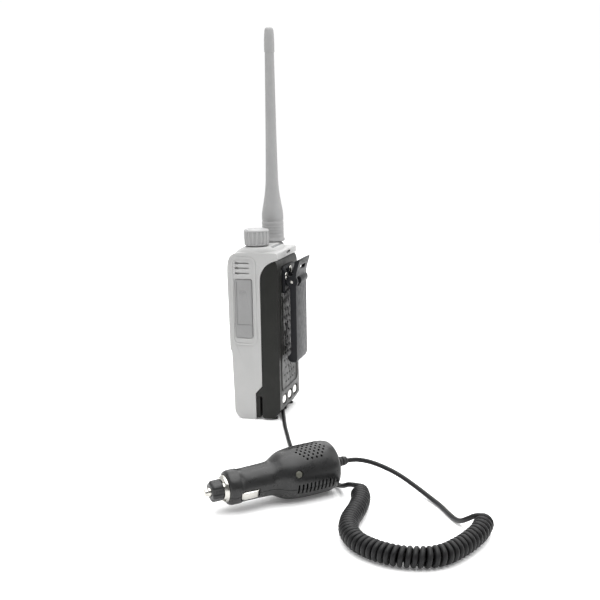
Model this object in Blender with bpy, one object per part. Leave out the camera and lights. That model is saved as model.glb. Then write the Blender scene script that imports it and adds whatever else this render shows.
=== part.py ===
"""Handheld two-way aviation radio with a battery eliminator, belt clip and curly supply cord.

The origin is on the table, below the middle of the radio and its clip. +Z is up, -Y is the
front with the display and keypad, and +X is the side with the accessory cover. Shapes are
drawn in millimetres in this frame, and MM turns them into Blender's metres.
"""
import math

import bmesh
import bpy
from mathutils import Matrix, Vector

MM = 0.001
GAP = 0.3               # clearance between neighbouring pieces

# Radio body
HALF_WIDTH = 27.6
WALL = 2.0
FRONT_Y = -26.0
BEZEL_Y = -27.0
HOUSING_BACK_Y = 13.5
TOP_Z = 130.6
SEAM_Y = 0.0            # plane between the radio and the eliminator
SIDE_ROUND = 3.0

# Battery eliminator
PACK_BACK_Y = 14.3
PACK_BOTTOM_Z = 1.5
CONTACT_X = (15.0, 0.0, -15.0)
CONTACT_Z = 14.4
FOOT_X = 21.5
FOOT_Y = 7.9

# Controls
KNOB_X, KNOB_Y = 14.8, -5.9
KNOB_RADIUS = 9.5
ANTENNA_X, ANTENNA_Y = -15.2, -1.85
CONTROL_BASE_Z = 134.9  # underside of the knob and of the antenna
KNOB_TOP_Z = 147.5
DECK = (                # the top's raised deck: half width, its Y span, height
    (27.0, (-23.6, 9.6), 128.9),
    (26.4, (-21.6, 8.6), 130.9),
    (25.6, (-18.4, 7.2), 132.6),
    (24.9, (-15.9, 5.4), 133.8),
    (24.2, (-14.6, 4.2), 134.5),
)
LIGHT_Y = (5.4, 6.4)
VENT_Z = (115.0, 118.9, 122.7)
KEY_COLUMNS = (-14.5, 0.0, 14.5)
KEY_ROWS = (36.1, 27.9, 19.7, 11.5)
KEY_NAMES = ("1", "2", "3", "4", "5", "6", "7", "8", "9", "star", "0", "hash")
KEY_SIZE = (11.4, 5.4)
KEY_CLEARANCE = 0.4
ROCKER_Z = 48.5
ROCKER_SIZE = (34.0, 7.0)
SIDE_BUTTON_Y = (-13.7, -4.3)
SIDE_BUTTONS = {
    "side_key_lower": (55.0, 65.0),
    "ptt_button": (69.0, 98.0),
    "side_key_upper": (102.0, 110.0),
}

# Accessory cover on the +X side
COVER_Y = (-20.1, -6.5)
COVER_Z = (64.9, 110.2)
COVER_HINGE = (28.0, -6.9)

# Belt clip
CLIP_HALF_WIDTH = 14.0
CLIP_OUTER_Y = 24.5
CLIP_WALL = 1.6
CLIP_BOTTOM_Z, CLIP_TOP_Z = 45.0, 122.7
PIVOT_Y, PIVOT_Z = 21.1, 106.8
PIVOT_RADIUS = 1.15
SCREWS = {
    "clip_screw_right": (10.6, 111.3),
    "clip_screw_left": (-10.6, 111.3),
    "clip_screw_top": (0.0, 115.4),
}

# Curly cord
CORD_RADIUS = 1.5
COIL_RADIUS = 5.8
CORD_STEP = 8.0
COIL_STEP = 12.0

# Vehicle power plug, drawn along its own axis with the tip of the pin at zero
PLUG_TIP = (211.2, 21.6, 14.2)
PLUG_TURN = math.radians(132.9)
PLUG_TILT = math.radians(-1.6)
PLUG_ROLL = math.radians(26.0)
LAMP_ALONG = 55.5
LAMP_ROLL = math.radians(74.0)
BARREL_RADIUS = 10.4
BODY_RADIUS = 15.9
BODY_END = 85.3

FINISHES = {
    "case": ((0.48, 0.48, 0.48), 0.5, 0.0),
    "light trim": ((0.38, 0.38, 0.38), 0.55, 0.0),
    "window": ((0.05, 0.06, 0.07), 0.12, 0.0),
    "black plastic": ((0.018, 0.018, 0.02), 0.45, 0.0),
    "black rubber": ((0.014, 0.014, 0.015), 0.65, 0.0),
    "bright metal": ((0.72, 0.71, 0.69), 0.22, 1.0),
    "dark metal": ((0.12, 0.12, 0.13), 0.35, 1.0),
    "alloy": ((0.5, 0.5, 0.51), 0.42, 1.0),
    "circuit board": ((0.02, 0.12, 0.06), 0.4, 0.0),
    "glass": ((0.75, 0.78, 0.8), 0.08, 0.0),
    "lamp lens": ((0.55, 0.56, 0.5), 0.2, 0.0),
}


# ---------------------------------------------------------------- helpers

def clear_scene():
    for item in list(bpy.data.objects):
        bpy.data.objects.remove(item, do_unlink=True)


def material(name, finish):
    colour, roughness, metallic = FINISHES[finish]
    made = bpy.data.materials.new(name)
    made.use_nodes = True
    shader = made.node_tree.nodes["Principled BSDF"]
    shader.inputs["Base Color"].default_value = (*colour, 1.0)
    shader.inputs["Roughness"].default_value = roughness
    shader.inputs["Metallic"].default_value = metallic
    return made


def finish_mesh(name, shape, origin, rotation=None):
    """Turn a millimetre bmesh into an object with its origin at the point `origin`.

    A shape with a rotation is drawn round its own origin, and any other in the frame.
    """
    bmesh.ops.recalc_face_normals(shape, faces=shape.faces[:])
    if rotation is None:
        bmesh.ops.translate(shape, verts=shape.verts[:], vec=-Vector(origin))
    bmesh.ops.scale(shape, verts=shape.verts[:], vec=(MM, MM, MM))
    mesh = bpy.data.meshes.new(name)
    shape.to_mesh(mesh)
    shape.free()
    mesh.shade_smooth()
    mesh.set_sharp_from_angle(angle=math.radians(32))
    item = bpy.data.objects.new(name, mesh)
    item.location = Vector(origin) * MM
    item.rotation_euler = rotation or (0.0, 0.0, 0.0)
    bpy.context.collection.objects.link(item)
    return item


def add_part(name, shape, finish, origin=(0.0, 0.0, 0.0), rotation=None):
    item = finish_mesh(name, shape, origin, rotation)
    item.data.materials.append(material(name, finish))
    return item


def combine(item, shape, operation, rotation=None, origin=(0.0, 0.0, 0.0)):
    """Cut `shape` out of the part, or weld it on, with a Boolean that stays on the part."""
    count = len(item.modifiers)
    tool = finish_mesh(f"{item.name}_tool_{count}", shape, origin, rotation)
    tool.hide_render = True
    tool.display_type = "WIRE"
    modifier = item.modifiers.new(f"{operation.lower()}_{count}", "BOOLEAN")
    modifier.operation = operation
    modifier.object = tool
    modifier.solver = "EXACT"


def point_on(axis, along, a, b):
    if axis == "X":
        return (along, a, b)
    if axis == "Y":
        return (a, along, b)
    return (a, b, along)


def prism(outline, axis, low, high, into=None):
    """Extrude a closed outline of (a, b) points along an axis."""
    shape = into or bmesh.new()
    near = [shape.verts.new(point_on(axis, low, a, b)) for a, b in outline]
    far = [shape.verts.new(point_on(axis, high, a, b)) for a, b in outline]
    shape.faces.new(near)
    shape.faces.new(far)
    for index in range(len(outline)):
        after = (index + 1) % len(outline)
        shape.faces.new((near[index], near[after], far[after], far[index]))
    return shape


def box(x, y, z, into=None):
    """A box from three (low, high) pairs."""
    outline = ((x[0], y[0]), (x[1], y[0]), (x[1], y[1]), (x[0], y[1]))
    return prism(outline, "Z", z[0], z[1], into)


def lathe(profile, axis, centre, sides=20, closed=False, into=None):
    """Turn a profile of (radius, along) points round an axis; a closed profile has a bore."""
    shape = into or bmesh.new()
    rings = []
    for radius, along in profile:
        count = 1 if radius == 0 else sides
        ring = []
        for step in range(count):
            angle = 2 * math.pi * step / sides
            a = centre[0] + radius * math.cos(angle)
            b = centre[1] + radius * math.sin(angle)
            ring.append(shape.verts.new(point_on(axis, along, a, b)))
        rings.append(ring)
    pairs = list(zip(rings, rings[1:]))
    if closed:
        pairs.append((rings[-1], rings[0]))
    else:
        for ring in (rings[0], rings[-1]):
            if len(ring) > 1:
                shape.faces.new(ring)
    for low, high in pairs:
        for step in range(sides):
            after = (step + 1) % sides
            corners = [low[step % len(low)], low[after % len(low)],
                       high[after % len(high)], high[step % len(high)]]
            unique = list(dict.fromkeys(corners))
            shape.faces.new(unique)
    return shape


def cylinder(axis, centre, radius, low, high, sides=16, into=None):
    return lathe(((radius, low), (radius, high)), axis, centre, sides, into=into)


def round_side_edges(shape, half_width, width, keep, segments=3):
    """Bevel the edges that lie in the two side planes and whose ends satisfy `keep`."""
    edges = []
    for edge in shape.edges:
        ends = [vert.co for vert in edge.verts]
        in_side = all(abs(abs(co.x) - half_width) < 1e-4 for co in ends)
        if in_side and ends[0].x * ends[1].x > 0 and all(keep(co.y, co.z) for co in ends):
            edges.append(edge)
    bmesh.ops.bevel(shape, geom=edges, offset=width, segments=segments,
                    affect="EDGES", profile=0.5, clamp_overlap=True)


def arc(centre, radius, start, end, steps):
    """Points on an arc, with its angles in degrees."""
    points = []
    for step in range(steps + 1):
        angle = math.radians(start + (end - start) * step / steps)
        points.append((centre[0] + radius * math.cos(angle),
                       centre[1] + radius * math.sin(angle)))
    return points


def smooth_route(points, step):
    """Read points at an even spacing from a smooth curve through the route's own points."""
    route = [Vector(point) for point in points]
    route = [2 * route[0] - route[1]] + route + [2 * route[-1] - route[-2]]
    fine = []
    for index in range(1, len(route) - 2):
        before, start, end, after = route[index - 1:index + 3]
        for part in range(20):
            t = part / 20
            fine.append(0.5 * (2 * start + (end - before) * t
                               + (2 * before - 5 * start + 4 * end - after) * t ** 2
                               + (3 * start - before - 3 * end + after) * t ** 3))
    fine.append(route[-2])
    lengths = [0.0]
    for low, high in zip(fine, fine[1:]):
        lengths.append(lengths[-1] + (high - low).length)
    count = max(2, round(lengths[-1] / step))
    sampled = []
    index = 0
    for part in range(count + 1):
        wanted = lengths[-1] * part / count
        while index < len(fine) - 2 and lengths[index + 1] < wanted:
            index += 1
        share = (wanted - lengths[index]) / (lengths[index + 1] - lengths[index])
        sampled.append(fine[index].lerp(fine[index + 1], min(1.0, share)))
    return sampled


def add_cord(name, points, radius, step, resolution):
    """A round solid along a smooth route, made by a curve with filled ends."""
    sampled = smooth_route(points, step)
    curve = bpy.data.curves.new(name, "CURVE")
    curve.dimensions = "3D"
    curve.bevel_depth = radius * MM
    curve.bevel_resolution = resolution
    curve.use_fill_caps = True
    spline = curve.splines.new("POLY")
    spline.points.add(len(sampled) - 1)
    for point, place in zip(spline.points, sampled):
        point.co = (*(place * MM), 1.0)
    curve.materials.append(material(name, "black rubber"))
    item = bpy.data.objects.new(name, curve)
    bpy.context.collection.objects.link(item)
    return item


# ---------------------------------------------------------------- radio

def keypad_face_y(z):
    """The keypad section of the front leans back towards the bottom."""
    return -22.5 - 1.5 * (z - 8.0) / 49.0


def case_outline():
    return [(-5.5, 0.0), *arc((-14.5, 8.0), 8.0, 270, 180, 4), (-24.0, 57.0), (-26.0, 59.5),
            (FRONT_Y, 116.0), (-24.7, 123.2), (-21.8, 128.4), (-15.0, TOP_Z),
            (12.3, TOP_Z), (HOUSING_BACK_Y, 129.4), (HOUSING_BACK_Y, 124.7), (8.2, 123.3),
            (4.0, 120.1), (1.3, 116.2), (SEAM_Y - GAP, 110.0), (SEAM_Y - GAP, 27.0),
            (-5.5, 20.9)]


def case_hollow():
    return [(-7.2, WALL), (-14.0, WALL), (-20.5, 9.0), (-22.0, 57.5), (-24.0, 61.0),
            (-24.0, 116.0), (-21.0, 124.5), (-15.0, 128.2), (11.0, 128.2), (11.0, 126.0),
            (6.8, 124.9), (2.2, 121.6), (-1.0, 117.2), (-2.3, 112.0), (1.0, 112.0),
            (1.0, 29.0), (-2.3, 29.0), (-7.2, 23.0)]


def raised_deck():
    """Loft of rounded rectangles that carries the knob and the antenna."""
    shape = bmesh.new()
    rings = []
    for half, (front, back), z in DECK:
        radius = (back - front) / 2 - 0.3
        ring = []
        for x, y, start in ((half - radius, front + radius, 270),
                            (half - radius, back - radius, 0),
                            (radius - half, back - radius, 90),
                            (radius - half, front + radius, 180)):
            ring += arc((x, y), radius, start, start + 90, 5)
        rings.append([shape.verts.new((x, y, z)) for x, y in ring])
    shape.faces.new(rings[0])
    shape.faces.new(rings[-1])
    for low, high in zip(rings, rings[1:]):
        for index in range(len(low)):
            after = (index + 1) % len(low)
            shape.faces.new((low[index], low[after], high[after], high[index]))
    return shape


def front_openings():
    """Holes through the front wall for the window, speaker, keys and rocker."""
    shape = box((-19.0, 19.0), (-28.0, -20.0), (68.0, 95.0))
    for row in range(5):
        low = 98.6 + 3.6 * row
        box((-11.0, 11.0), (-28.0, -20.0), (low, low + 1.6), shape)
    reach = (-28.0, -18.8)
    half = KEY_SIZE[0] / 2 + KEY_CLEARANCE
    tall = KEY_SIZE[1] / 2 + KEY_CLEARANCE
    for z in KEY_ROWS:
        for x in KEY_COLUMNS:
            box((x - half, x + half), reach, (z - tall, z + tall), shape)
    half = ROCKER_SIZE[0] / 2 + KEY_CLEARANCE
    tall = ROCKER_SIZE[1] / 2 + KEY_CLEARANCE
    box((-half, half), reach, (ROCKER_Z - tall, ROCKER_Z + tall), shape)
    return shape


def side_openings():
    """Button holes on the left, and the cover's recess, socket and vents on the right."""
    shape = bmesh.new()
    y = (SIDE_BUTTON_Y[0] - KEY_CLEARANCE, SIDE_BUTTON_Y[1] + KEY_CLEARANCE)
    for low, high in SIDE_BUTTONS.values():
        box((-30.0, -24.0), y, (low - KEY_CLEARANCE, high + KEY_CLEARANCE), shape)
    y = (COVER_Y[0] - KEY_CLEARANCE, COVER_Y[1] + KEY_CLEARANCE)
    box((26.4, 30.0), y, (COVER_Z[0] - KEY_CLEARANCE, COVER_Z[1] + KEY_CLEARANCE), shape)
    for z in VENT_Z:
        box((26.6, 30.0), (-19.7, -8.5), (z - 0.6, z + 0.6), shape)
    return shape


def add_front_case():
    shape = prism(case_outline(), "X", -HALF_WIDTH, HALF_WIDTH)
    round_side_edges(shape, HALF_WIDTH, SIDE_ROUND,
                     lambda y, z: y < -5.4 and z < 20 or y < -14 or z > 123)
    case = add_part("front_case", shape, "case")
    inner = HALF_WIDTH - WALL
    combine(case, raised_deck(), "UNION")
    combine(case, box((-21.5, 21.5), (BEZEL_Y, -25.0), (65.5, 97.0)), "UNION")
    combine(case, prism(case_hollow(), "X", -inner, inner), "DIFFERENCE")
    combine(case, front_openings(), "DIFFERENCE")
    combine(case, side_openings(), "DIFFERENCE")
    holes = cylinder("Z", (KNOB_X, KNOB_Y), 3.5, 126.0, 136.0)
    cylinder("Z", (ANTENNA_X, ANTENNA_Y), 4.5, 126.0, 136.0, into=holes)
    box((-15.3, 15.3), (LIGHT_Y[0] - GAP, LIGHT_Y[1] + GAP), (126.0, 136.0), holes)
    box((24.0, 27.0), (-17.0, -9.0), (76.0, 104.0), holes)
    combine(case, holes, "DIFFERENCE")


def add_radio_insides():
    add_part("rear_chassis", box((-25.2, 25.2), (-2.2, -0.6), (29.4, 111.6)), "alloy")
    add_part("main_board", box((-22.5, 22.5), (-9.0, -7.6), (5.0, 118.0)), "circuit board")
    add_part("keypad_mat", box((-21.5, 21.5), (-18.2, -17.2), (7.4, 57.0)), "black rubber")
    add_part("lcd_module", box((-20.5, 20.5), (-23.6, -19.5), (64.0, 96.5)), "dark metal")
    add_part("lcd_window", box((-18.6, 18.6), (-26.6, -24.3), (68.4, 94.6)), "window")
    speaker = ((0.0, -17.0), (8.6, -17.0), (9.2, -18.2), (9.2, -23.6), (0.0, -23.6))
    add_part("speaker", lathe(speaker, "Y", (0.0, 106.4)), "dark metal")
    socket = box((20.5, 26.1), (-16.6, -9.4), (76.4, 103.6))
    add_part("accessory_socket", socket, "black plastic")
    light = box((-15.0, 15.0), LIGHT_Y, (129.4, 133.2))
    add_part("light_pipe", light, "glass")


def add_keys():
    width, height = KEY_SIZE
    spots = [(x, z) for z in KEY_ROWS for x in KEY_COLUMNS]
    for name, (x, z) in zip(KEY_NAMES, spots):
        front = keypad_face_y(z) - 1.0
        shape = box((x - width / 2, x + width / 2), (front, front + 4.0),
                    (z - height / 2, z + height / 2))
        add_part(f"key_{name}", shape, "light trim", (x, front, z))
    front = keypad_face_y(ROCKER_Z) - 1.0
    half, tall = ROCKER_SIZE[0] / 2, ROCKER_SIZE[1] / 2
    shape = box((-half, half), (front, front + 4.0), (ROCKER_Z - tall, ROCKER_Z + tall))
    add_part("menu_rocker", shape, "light trim", (0.0, front, ROCKER_Z))
    for name, (low, high) in SIDE_BUTTONS.items():
        shape = box((-28.6, -24.9), SIDE_BUTTON_Y, (low, high))
        add_part(name, shape, "black rubber", (-28.6, -9.0, (low + high) / 2))


def add_knob():
    control = box((8.8, 20.8), (-11.2, -0.9), (119.5, 127.9))
    part = add_part("volume_control", control, "alloy")
    shaft = cylinder("Z", (KNOB_X, KNOB_Y), 3.0, 127.0, 143.8, 16)
    combine(part, shaft, "UNION")
    profile = ((KNOB_RADIUS, CONTROL_BASE_Z), (KNOB_RADIUS, KNOB_TOP_Z - 1.6),
               (KNOB_RADIUS - 1.6, KNOB_TOP_Z))
    knob = lathe(profile, "Z", (KNOB_X, KNOB_Y), 24)
    part = add_part("volume_knob", knob, "light trim", (KNOB_X, KNOB_Y, CONTROL_BASE_Z))
    combine(part, cylinder("Z", (KNOB_X, KNOB_Y), 3.3, 130.0, 144.1, 16), "DIFFERENCE")


def add_antenna():
    stem = ((6.5, 124.2), (6.5, 127.9), (4.1, 127.9), (4.1, 133.0), (3.0, 133.0), (3.0, 141.6))
    add_part("antenna_socket", lathe(stem, "Z", (ANTENNA_X, ANTENNA_Y), 16), "bright metal")
    profile = ((8.7, CONTROL_BASE_Z), (8.7, 138.0), (8.2, 139.5), (8.2, 157.0), (7.5, 160.5),
               (6.5, 167.0), (5.4, 175.0), (4.8, 182.0), (4.2, 214.0), (3.7, 259.0),
               (3.55, 279.8), (3.95, 280.6), (3.95, 289.0), (3.6, 296.0), (2.4, 298.7))
    whip = lathe(profile, "Z", (ANTENNA_X, ANTENNA_Y), 16)
    part = add_part("antenna_jacket", whip, "light trim", (ANTENNA_X, ANTENNA_Y, CONTROL_BASE_Z))
    bore = cylinder("Z", (ANTENNA_X, ANTENNA_Y), 3.4, 130.0, 142.2)
    combine(part, bore, "DIFFERENCE")


def add_accessory_cover():
    shape = box((26.75, 28.6), COVER_Y, COVER_Z)
    origin = (*COVER_HINGE, COVER_Z[0])
    add_part("accessory_cover", shape, "light trim", origin)


# ---------------------------------------------------------------- battery eliminator

def add_eliminator():
    outline = [(SEAM_Y, 27.0), (SEAM_Y, 110.0), (1.6, 116.0), (4.3, 119.8), (8.5, 123.0),
               (12.4, 124.1), (PACK_BACK_Y, 117.5), (PACK_BACK_Y, 8.5),
               (9.2, PACK_BOTTOM_Z), (-0.1, PACK_BOTTOM_Z), (-0.1, 18.6), (-5.2, 18.6),
               (-5.2, 20.8)]
    shape = prism(outline, "X", -HALF_WIDTH, HALF_WIDTH)
    round_side_edges(shape, HALF_WIDTH, 2.8, lambda y, z: y > 8.0)
    shell = add_part("eliminator_shell", shape, "black plastic")
    hollow = [(2.0, 110.3), (2.4, 113.5), (5.6, 117.6), (9.4, 119.6), (12.2, 115.5),
              (12.2, 10.2), (8.2, 4.8), (1.9, 4.8), (1.9, 25.5), (2.0, 28.7), (-1.0, 28.7),
              (-1.0, 110.3)]
    combine(shell, prism(hollow, "X", -25.2, 25.2), "DIFFERENCE")
    windows = box((-2.6, 7.0), (4.5, 16.0), (0.0, 6.2))
    for x in CONTACT_X:
        box((x - 5.8, x + 5.8), (11.0, 16.0), (CONTACT_Z - 3.4, CONTACT_Z + 3.4), windows)
    combine(shell, windows, "DIFFERENCE")
    combine(shell, box((6.0, 14.0), (6.4, 16.0), (0.0, 4.0)), "DIFFERENCE")

    add_part("eliminator_lid", box((-24.9, 24.9), (SEAM_Y, 1.7), (29.0, 110.0)),
             "black plastic")
    board = add_part("regulator_board", box((-22.0, 22.0), (3.0, 4.6), (24.0, 108.0)),
                     "circuit board")
    combine(board, box((-14.0, 4.0), (4.0, 10.5), (60.0, 84.0)), "UNION")
    strip = box((-21.2, 21.2), (10.8, 11.9), (CONTACT_Z - 3.8, CONTACT_Z + 3.8))
    contacts = add_part("contact_strip", strip, "bright metal")
    pads = bmesh.new()
    for x in CONTACT_X:
        box((x - 5.3, x + 5.3), (11.4, 13.2), (CONTACT_Z - 2.9, CONTACT_Z + 2.9), pads)
    combine(contacts, pads, "UNION")
    for name, x in (("foot_right", FOOT_X), ("foot_left", -FOOT_X)):
        add_part(name, cylinder("Z", (x, FOOT_Y), 2.5, 0.0, 1.2), "black rubber")
    add_part("release_latch", box((-26.9, 26.9), (-5.2, -2.2), (1.8, 18.2)),
             "black plastic", (0.0, -3.7, 16.8))


def add_gland():
    part = add_part("cable_gland", box((-2.3, 1.0), (4.8, 11.2), (1.6, 5.8)), "black rubber")
    stub = cylinder("X", (0.0, 0.0), 1.9, 0.0, 5.4, 12)
    turn = math.atan2(0.36, 0.93)
    combine(part, stub, "UNION", (0.0, 0.0, turn), (0.3, 7.5, 2.6))


# ---------------------------------------------------------------- belt clip

def add_clip():
    bracket = add_part("clip_bracket", box((-14.2, 14.2), (14.6, 16.3), (98.0, 119.0)),
                       "black plastic")
    ears = bmesh.new()
    for side in (-1, 1):
        reach = sorted((side * 5.4, side * 7.2))
        box(reach, (15.6, 22.9), (103.4, 109.0), ears)
    combine(bracket, ears, "UNION")
    hole = cylinder("X", (PIVOT_Y, PIVOT_Z), PIVOT_RADIUS + GAP, -13.0, 13.0)
    combine(bracket, hole, "DIFFERENCE")

    inner_y = CLIP_OUTER_Y - CLIP_WALL
    outline = [(CLIP_OUTER_Y, 47.6), (CLIP_OUTER_Y, 111.0), (25.2, 116.0), (27.0, 122.2),
               (26.6, CLIP_TOP_Z), (24.4, 122.2), (23.5, 116.0), (inner_y, 111.5),
               (inner_y, 48.6), (20.8, 47.0), (18.4, 48.2),
               (18.4, 46.4), (20.0, CLIP_BOTTOM_Z), (22.4, CLIP_BOTTOM_Z)]
    origin = (0.0, PIVOT_Y, PIVOT_Z)
    lever = add_part("clip_lever", prism(outline, "X", -CLIP_HALF_WIDTH, CLIP_HALF_WIDTH),
                     "black plastic", origin)
    walls = bmesh.new()
    side_wall = [(24.0, 47.2), (24.0, 111.4), (21.6, 111.4), (18.8, 108.4), (18.8, 104.8),
                 (20.8, 100.0), (20.8, 46.2)]
    for side in (-1, 1):
        low, high = sorted((side * (CLIP_HALF_WIDTH - CLIP_WALL), side * CLIP_HALF_WIDTH))
        prism(side_wall, "X", low, high, walls)
    combine(lever, walls, "UNION")
    cuts = cylinder("X", (PIVOT_Y, PIVOT_Z), PIVOT_RADIUS + GAP, -16.0, 16.0)
    box((-7.0, 7.0), (20.0, 28.0), (115.6, 118.6), cuts)
    for side in (-1, 1):
        box(sorted((side * 5.1, side * 7.5)), (inner_y - GAP, 23.8), (102.6, 111.0), cuts)
    combine(lever, cuts, "DIFFERENCE")

    pin = cylinder("X", (PIVOT_Y, PIVOT_Z), PIVOT_RADIUS, -13.9, 13.9, 12)
    add_part("clip_pin", pin, "bright metal", origin)
    coil = ((1.4, -4.9), (1.75, -4.9), (1.75, 4.9), (1.4, 4.9))
    spring = lathe(coil, "X", (PIVOT_Y, PIVOT_Z), 16, closed=True)
    add_part("clip_spring", spring, "bright metal", origin)
    for name, spot in SCREWS.items():
        head = cylinder("Y", spot, 2.8, 16.6, 18.0)
        add_part(name, head, "bright metal")


# ---------------------------------------------------------------- cord

LEAD_ROUTE = ((5.75, 9.6, 2.4), (23.8, 15.8, 1.7), (42.7, 22.1, 1.6), (60.4, 28.8, 1.6),
              (79.3, 36.0, 1.6), (105.0, 47.0, 1.6), (122.0, 57.0, 1.6), (136.0, 70.0, 1.6),
              (145.5, 82.0, 1.6), (149.6, 90.5, 1.6), (154.5, 97.3, 1.6), (161.2, 100.9, 1.6))
COIL_ROUTE = ((161.6, 101.1, 6.0), (176.5, 107.3, 6.0), (193.0, 108.9, 6.0),
              (210.5, 108.5, 6.0), (225.0, 111.1, 6.0), (236.4, 117.9, 6.0),
              (243.1, 126.3, 6.0), (247.1, 135.0, 6.0), (248.8, 143.1, 6.0),
              (248.1, 150.7, 6.0), (246.3, 158.2, 6.0), (241.1, 165.3, 6.0),
              (232.5, 171.0, 6.0), (222.7, 175.8, 6.0), (210.1, 180.1, 6.0),
              (197.5, 181.8, 6.0))
TAIL_ROUTE = ((196.6, 181.9, 6.0), (192.6, 182.0, 5.6), (189.7, 177.6, 4.2),
              (188.6, 170.6, 2.8), (185.6, 165.2, 1.7), (179.2, 160.4, 1.6),
              (167.8, 153.9, 1.6), (159.3, 146.8, 2.5), (149.3, 136.3, 5.0),
              (141.5, 125.7, 8.0), (137.6, 115.4, 11.0), (137.2, 105.8, 13.8),
              (140.4, 98.4, 15.8), (144.4, 93.6, 16.5),
              (148.5, 89.1, 16.7))


def add_cords():
    add_cord("cord_lead", LEAD_ROUTE, CORD_RADIUS, CORD_STEP, 2)
    add_cord("cord_coil", COIL_ROUTE, COIL_RADIUS, COIL_STEP, 3)
    add_cord("cord_tail", TAIL_ROUTE, CORD_RADIUS, CORD_STEP, 2)


# ---------------------------------------------------------------- power plug

def add_plug_part(name, shape, finish, roll=PLUG_ROLL):
    return add_part(name, shape, finish, PLUG_TIP, (roll, PLUG_TILT, PLUG_TURN))


def cut_plug(item, shape, operation="DIFFERENCE", roll=PLUG_ROLL):
    combine(item, shape, operation, (roll, PLUG_TILT, PLUG_TURN), PLUG_TIP)


def add_plug_shells():
    outside = ((9.6, 13.3), (BARREL_RADIUS + 0.3, 14.6), (BARREL_RADIUS, 20.0),
               (BARREL_RADIUS + 0.4, 41.8), (13.2, 46.5), (15.2, 52.0),
               (BODY_RADIUS, 62.0), (BODY_RADIUS, 80.0), (13.6, 84.2), (11.5, BODY_END))
    inside = ((8.4, 12.0), (8.4, 43.0), (13.4, 54.0), (13.4, 77.5), (11.0, 82.5))
    for name, low, high in (("plug_shell_upper", 0.15, 20.0), ("plug_shell_lower", -20.0, -0.15)):
        half = add_plug_part(name, lathe(outside, "X", (0.0, 0.0), 24), "black plastic")
        cut_plug(half, lathe(inside, "X", (0.0, 0.0), 20))
        cut_plug(half, box((0.0, 100.0), (-20.0, 20.0), (low, high)), "INTERSECT")
        slots = bmesh.new()
        box((19.5, 31.8), (7.0, 12.0), (-2.8, 2.8), slots)
        box((19.5, 31.8), (-12.0, -7.0), (-2.8, 2.8), slots)
        cut_plug(half, slots)
        if low > 0:
            hole = cylinder("Z", (LAMP_ALONG, 0.0), 1.8, 11.0, 17.0, 12)
            cut_plug(half, hole, roll=LAMP_ROLL)


def add_plug_insides():
    pin = ((1.9, 0.0), (2.7, 0.9), (2.7, 6.3), (3.6, 6.3), (3.6, 7.4))
    add_plug_part("plug_pin", lathe(pin, "X", (0.0, 0.0), 16), "bright metal")
    nose = ((3.1, 3.6), (5.2, 3.6), (6.2, 5.0), (6.4, 10.1), (4.1, 10.1), (4.1, 5.9), (3.1, 5.9))
    add_plug_part("plug_nose", lathe(nose, "X", (0.0, 0.0), 20, closed=True), "black plastic")
    collar = ((4.6, 10.4), (7.4, 10.4), (8.8, 13.0), (8.0, 13.0), (8.0, 16.0), (4.6, 16.0))
    add_plug_part("plug_collar", lathe(collar, "X", (0.0, 0.0), 24, closed=True),
                  "bright metal")
    add_plug_part("fuse", cylinder("X", (0.0, 0.0), 3.1, 7.7, 37.7, 12), "glass")
    spring = ((2.0, 40.0), (3.3, 40.0), (3.3, 48.0), (2.0, 48.0))
    add_plug_part("pin_spring", lathe(spring, "X", (0.0, 0.0), 12, closed=True),
                  "bright metal")
    for name, side in (("side_contact_left", 1), ("side_contact_right", -1)):
        reach = sorted((side * 9.0, side * 11.3))
        shape = box((19.9, 31.4), reach, (-2.4, 2.4))
        add_plug_part(name, shape, "bright metal")
    add_plug_part("plug_board", box((54.0, 76.0), (-10.0, 10.0), (-3.2, -1.6)),
                  "circuit board")
    lamp = cylinder("Z", (LAMP_ALONG, 0.0), 1.5, 12.6, 15.1, 12)
    add_plug_part("plug_lamp", lamp, "lamp lens", LAMP_ROLL)
    boot = ((3.4, 85.6), (3.4, 87.5), (2.6, 91.4))
    add_plug_part("plug_boot", lathe(boot, "X", (0.0, 0.0), 12), "black rubber")


def main():
    clear_scene()
    add_front_case()
    add_radio_insides()
    add_keys()
    add_knob()
    add_antenna()
    add_accessory_cover()
    add_eliminator()
    add_gland()
    add_clip()
    add_cords()
    add_plug_shells()
    add_plug_insides()


main()
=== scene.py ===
"""Looks of the handheld radio, its battery eliminator, belt clip, curly cord and power plug.

Shapes are drawn in millimetres in the frame's own axes: +Z up, -Y the front with the
keypad, +X the side with the accessory cover. MM turns them into metres.
"""
import math

import bmesh
import bpy
from mathutils import Matrix, Vector


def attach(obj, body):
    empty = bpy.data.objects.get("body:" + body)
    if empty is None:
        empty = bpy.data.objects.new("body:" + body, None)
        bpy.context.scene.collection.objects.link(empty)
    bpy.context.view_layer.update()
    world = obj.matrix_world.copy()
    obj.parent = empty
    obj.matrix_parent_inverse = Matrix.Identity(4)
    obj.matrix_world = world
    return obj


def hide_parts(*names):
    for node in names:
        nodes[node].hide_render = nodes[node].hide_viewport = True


MM = 0.001
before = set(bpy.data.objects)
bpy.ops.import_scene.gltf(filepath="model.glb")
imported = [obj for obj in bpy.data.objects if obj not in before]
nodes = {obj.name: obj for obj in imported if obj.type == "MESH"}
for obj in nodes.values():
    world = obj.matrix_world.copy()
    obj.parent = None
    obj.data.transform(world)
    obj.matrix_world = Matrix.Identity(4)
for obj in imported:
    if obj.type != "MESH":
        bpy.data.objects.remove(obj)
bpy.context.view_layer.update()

# ---------------------------------------------------------------- main sizes and places

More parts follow.
